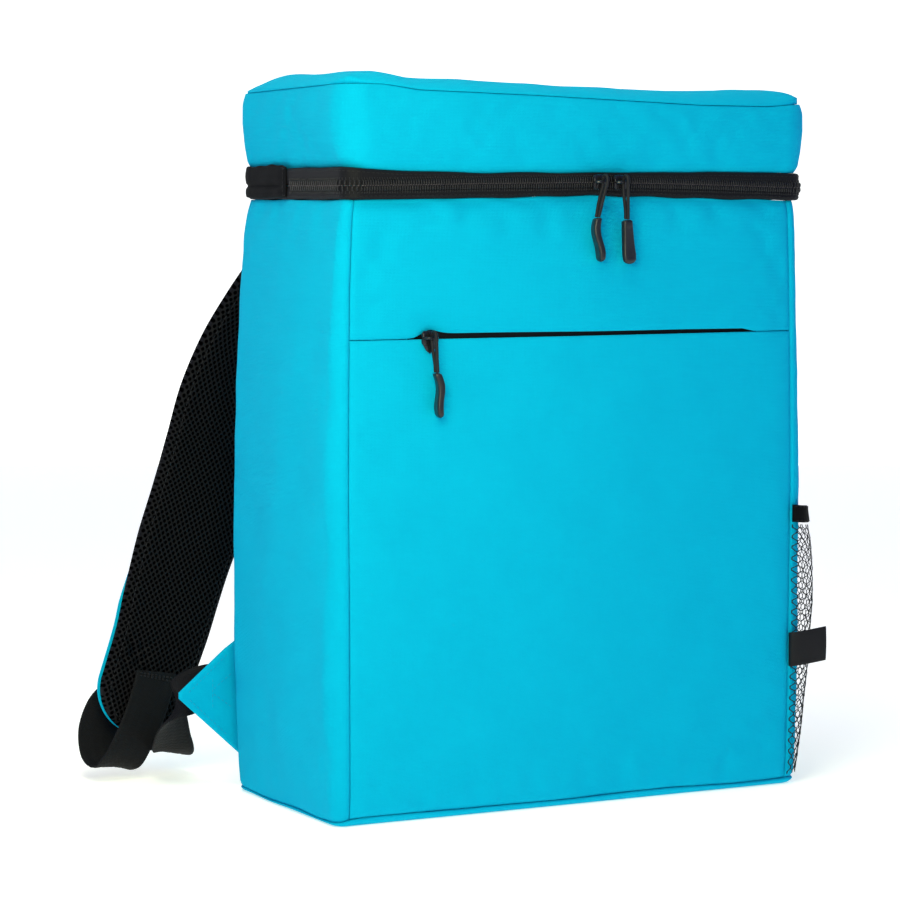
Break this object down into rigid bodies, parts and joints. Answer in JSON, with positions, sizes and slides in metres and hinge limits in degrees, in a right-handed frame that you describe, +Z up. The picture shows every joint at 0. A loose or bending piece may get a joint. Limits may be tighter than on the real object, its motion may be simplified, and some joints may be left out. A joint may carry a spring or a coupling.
{
  "type": "cooler backpack",
  "caption": "Upright box-shaped soft cooler backpack with a zip-round padded lid, flat front zip pocket, net bottle pocket on the side and padded shoulder straps.",
  "frame": {"origin": "middle of the flat underside of the base, on the surface that the bag stands on", "axes": "+Z up, -Y the front with the zip pocket, +Y the side of the shoulder straps, +X the side of the net pocket, which is the right as the front is seen"},
  "size_m": [0.4272, 0.239, 0.4056],
  "materials": {
    "cloth": "matte woven",
    "black_cloth": "matte woven",
    "net": "matte knitted net",
    "webbing": "matte woven tape",
    "cord": "matte braid",
    "black_plastic": "satin",
    "black_metal": "semi-gloss"
  },
  "bodies": {
    "root": {"back_panel": "cloth", "base_panel": "cloth", "front_pocket_panel": "cloth", "front_upper_panel": "cloth", "front_wall": "cloth", "ladder_lock_left": "black_plastic", "ladder_lock_right": "black_plastic", "lid_gusset": "cloth", "lid_hinge": "cloth", "lid_top": "cloth", "main_pull_a_cord": "cord", "main_pull_a_grip": "black_plastic", "main_pull_b_cord": "cord", "main_pull_b_grip": "black_plastic", "main_slider_a": "black_metal", "main_slider_b": "black_metal", "main_zip_coil": "black_plastic", "main_zip_tape_lower": "black_cloth", "main_zip_tape_upper": "black_cloth", "mesh_pocket_binding": "black_cloth", "mesh_pocket_net": "net", "pocket_pull_cord": "cord", "pocket_pull_grip": "black_plastic", "pocket_slider": "black_metal", "pocket_zip_tape": "black_cloth", "seam_label": "black_cloth", "side_panel_left": "cloth", "side_panel_right": "cloth", "strap_cover_left": "cloth", "strap_cover_right": "cloth", "strap_pad_left": "net", "strap_pad_right": "net", "strap_tab_left": "cloth", "strap_tab_right": "cloth", "webbing_adjuster_left": "webbing", "webbing_adjuster_right": "webbing", "webbing_loop_left": "webbing", "webbing_loop_right": "webbing", "zip_end_cover_left": "black_cloth", "zip_end_cover_right": "black_cloth"}
  },
  "joints": []
}
